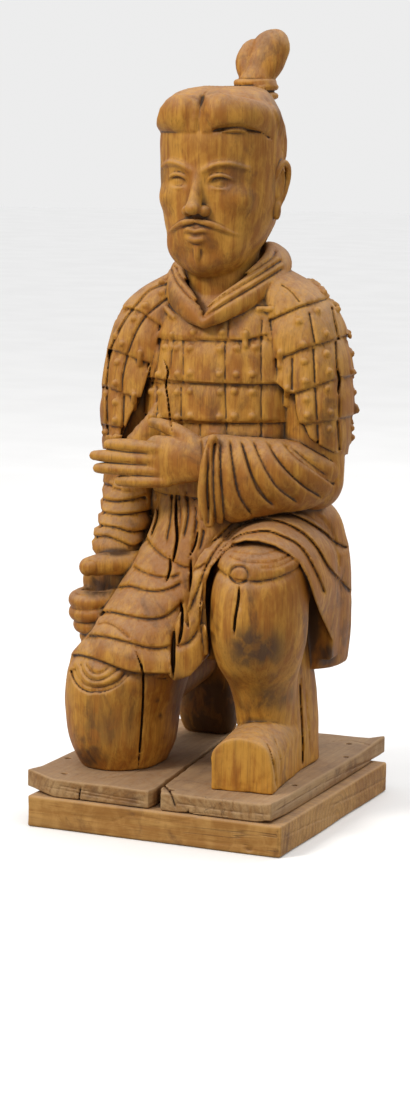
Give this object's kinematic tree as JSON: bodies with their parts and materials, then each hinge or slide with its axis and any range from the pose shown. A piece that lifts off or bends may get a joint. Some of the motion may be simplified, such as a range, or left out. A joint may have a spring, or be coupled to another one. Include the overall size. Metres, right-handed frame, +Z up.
{
  "type": "carved wooden warrior statue",
  "caption": "Kneeling armoured warrior carved from wood, one knee raised, hair in a top-knot, on a low two-layer wooden plinth; a free-standing ornament.",
  "frame": {"origin": "centre of the plinth slab's underside, where the statue stands on the floor or on a pedestal", "axes": "+Z up along the figure's height; the figure faces -Y; +X is the figure's own left, the side of the raised knee"},
  "size_m": [0.421, 0.485, 1.1803],
  "materials": {
    "figure_wood": "waxed satin, weathered on upward faces",
    "board_wood": "dusty matte",
    "slab_wood": "planed satin",
    "nail_iron": "rusted matte"
  },
  "bodies": {
    "root": {"warrior_figure": "figure_wood", "plinth_slab": "slab_wood", "plinth_board_right": "board_wood", "plinth_board_left": "board_wood", "nail_1": "nail_iron", "nail_2": "nail_iron", "nail_3": "nail_iron", "nail_4": "nail_iron", "nail_5": "nail_iron", "nail_6": "nail_iron", "nail_7": "nail_iron", "nail_8": "nail_iron"}
  },
  "joints": []
}
